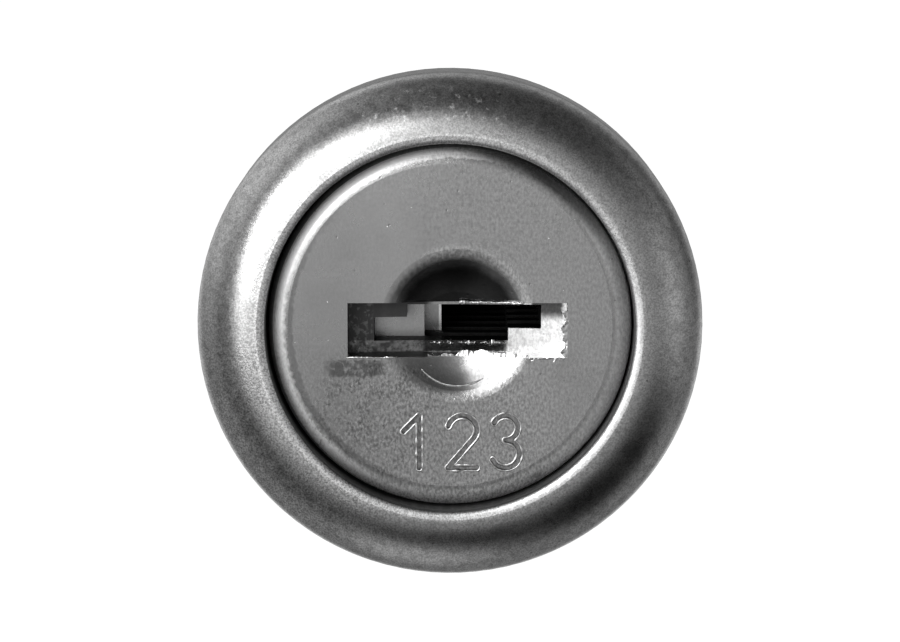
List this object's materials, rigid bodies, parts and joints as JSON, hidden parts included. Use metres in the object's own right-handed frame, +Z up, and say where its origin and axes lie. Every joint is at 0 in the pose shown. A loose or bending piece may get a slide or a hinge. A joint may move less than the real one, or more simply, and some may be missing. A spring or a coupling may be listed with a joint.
{
  "type": "tool case lock",
  "caption": "Round key-operated wafer cam lock for a tool case: domed bezel, turning plug with a stepped keyway, threaded barrel, nut and cranked cam.",
  "frame": {"origin": "on the lock's axis, in the plane of the bezel's back face, which seats on the outside of the case wall", "axes": "+Y along the lock's axis into the case, so the bezel and keyway face -Y; +Z up, on the side away from the barrel's flat; +X to the right as seen from in front"},
  "size_m": [0.022, 0.0315, 0.026],
  "materials": {
    "plated_zinc": "satin",
    "plated_zinc_face": "satin",
    "zinc_plated_steel": "satin",
    "nickel_plated_nut": "satin",
    "spring_steel": "satin",
    "nickel_silver": "satin",
    "spring_wire": "gloss"
  },
  "bodies": {
    "housing": {"housing": "plated_zinc", "mounting_nut": "nickel_plated_nut", "nut_washer": "spring_steel"},
    "plug": {"plug": "plated_zinc_face", "stop_washer": "zinc_plated_steel", "cam": "zinc_plated_steel", "lock_washer": "spring_steel", "cam_screw": "zinc_plated_steel", "wafer_spring_1": "spring_wire", "wafer_spring_2": "spring_wire", "wafer_spring_3": "spring_wire", "wafer_spring_4": "spring_wire", "wafer_spring_5": "spring_wire", "wafer_spring_6": "spring_wire", "wafer_spring_7": "spring_wire", "retainer_spring": "spring_wire"},
    "wafer_1": {"wafer_1": "nickel_silver"},
    "wafer_2": {"wafer_2": "nickel_silver"},
    "wafer_3": {"wafer_3": "nickel_silver"},
    "wafer_4": {"wafer_4": "nickel_silver"},
    "wafer_5": {"wafer_5": "nickel_silver"},
    "wafer_6": {"wafer_6": "nickel_silver"},
    "wafer_7": {"wafer_7": "nickel_silver"},
    "retainer": {"retainer": "nickel_silver"}
  },
  "joints": [
    {"name": "plug_turn", "type": "hinge", "parent": "housing", "child": "plug", "pos_m": [0, 0, 0], "axis": [0, 1, 0], "range_deg": [0, 180]},
    {"name": "wafer_1_slide", "type": "slide", "parent": "plug", "child": "wafer_1", "axis": [1, 0, 0], "range_m": [-0.0006, 0.0011], "stiffness_N_per_m": 20, "deforming": ["wafer_spring_1"]},
    {"name": "wafer_2_slide", "type": "slide", "parent": "plug", "child": "wafer_2", "axis": [1, 0, 0], "range_m": [-0.0006, 0.0011], "stiffness_N_per_m": 20, "deforming": ["wafer_spring_2"]},
    {"name": "wafer_3_slide", "type": "slide", "parent": "plug", "child": "wafer_3", "axis": [1, 0, 0], "range_m": [-0.0006, 0.0011], "stiffness_N_per_m": 20, "deforming": ["wafer_spring_3"]},
    {"name": "wafer_4_slide", "type": "slide", "parent": "plug", "child": "wafer_4", "axis": [1, 0, 0], "range_m": [-0.0006, 0.0011], "stiffness_N_per_m": 20, "deforming": ["wafer_spring_4"]},
    {"name": "wafer_5_slide", "type": "slide", "parent": "plug", "child": "wafer_5", "axis": [1, 0, 0], "range_m": [-0.0006, 0.0011], "stiffness_N_per_m": 20, "deforming": ["wafer_spring_5"]},
    {"name": "wafer_6_slide", "type": "slide", "parent": "plug", "child": "wafer_6", "axis": [1, 0, 0], "range_m": [-0.0006, 0.0011], "stiffness_N_per_m": 20, "deforming": ["wafer_spring_6"]},
    {"name": "wafer_7_slide", "type": "slide", "parent": "plug", "child": "wafer_7", "axis": [1, 0, 0], "range_m": [-0.0006, 0.0011], "stiffness_N_per_m": 20, "deforming": ["wafer_spring_7"]},
    {"name": "retainer_slide", "type": "slide", "parent": "plug", "child": "retainer", "axis": [0, 0, 1], "range_m": [0, 0.0007], "stiffness_N_per_m": 50, "springref_m": -0.002, "deforming": ["retainer_spring"]}
  ]
}
